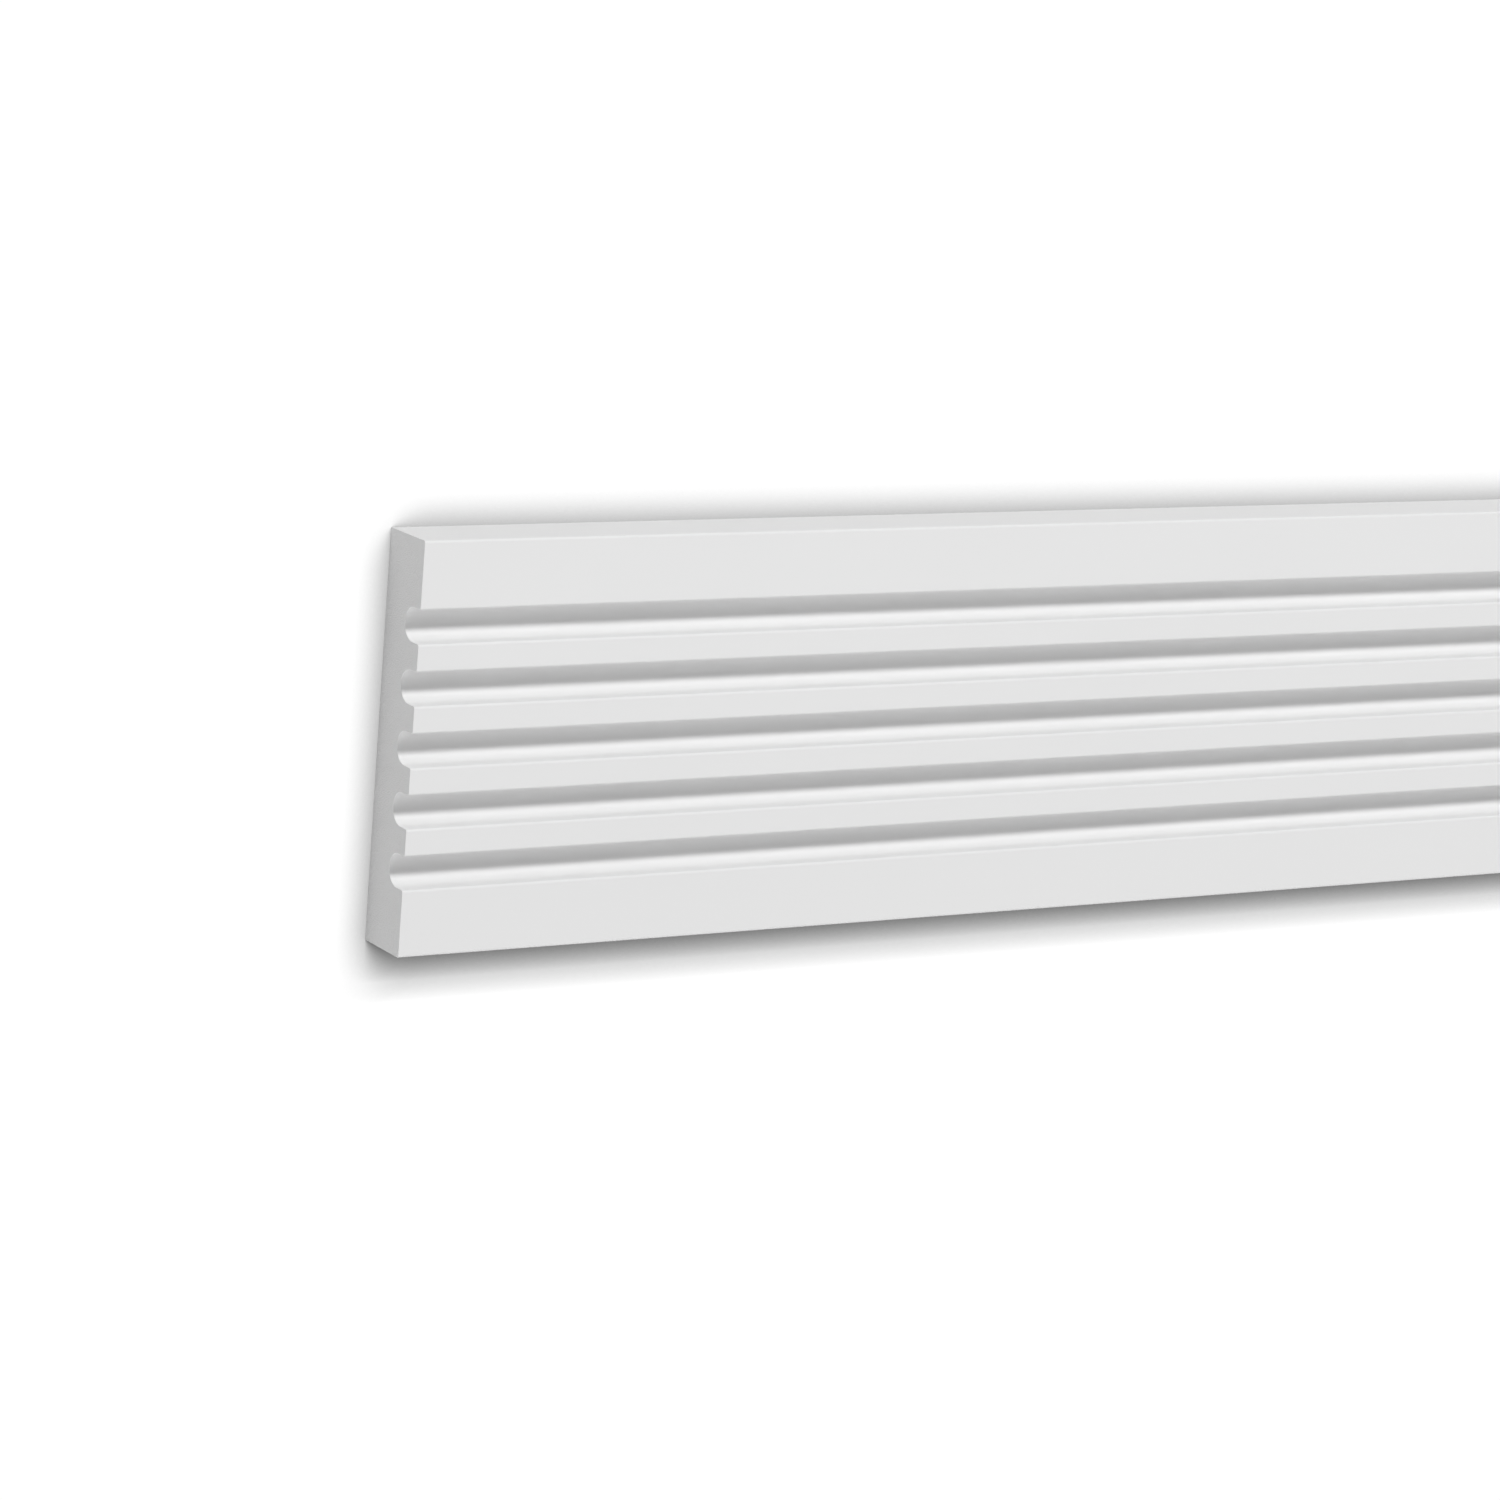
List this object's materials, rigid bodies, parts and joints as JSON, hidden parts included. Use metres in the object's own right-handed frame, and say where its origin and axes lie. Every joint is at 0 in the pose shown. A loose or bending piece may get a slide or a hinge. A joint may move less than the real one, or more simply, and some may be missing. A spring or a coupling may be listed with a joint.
{
  "type": "flexible moulding",
  "caption": "Long flat moulding strip: its front has parallel round-bottomed flutes between plain border bands, and its flat back is glued to a wall or ceiling.",
  "frame": {"origin": "middle of the plain back face, which lies on the ground", "axes": "+X along the strip, +Y across it towards the long edge that is uppermost in the picture, +Z out of the fluted front face"},
  "size_m": [2, 0.122, 0.021],
  "materials": {
    "primed_polyurethane": "matte white factory primer on moulded polyurethane"
  },
  "bodies": {
    "root": {"moulding": "primed_polyurethane"}
  },
  "joints": []
}
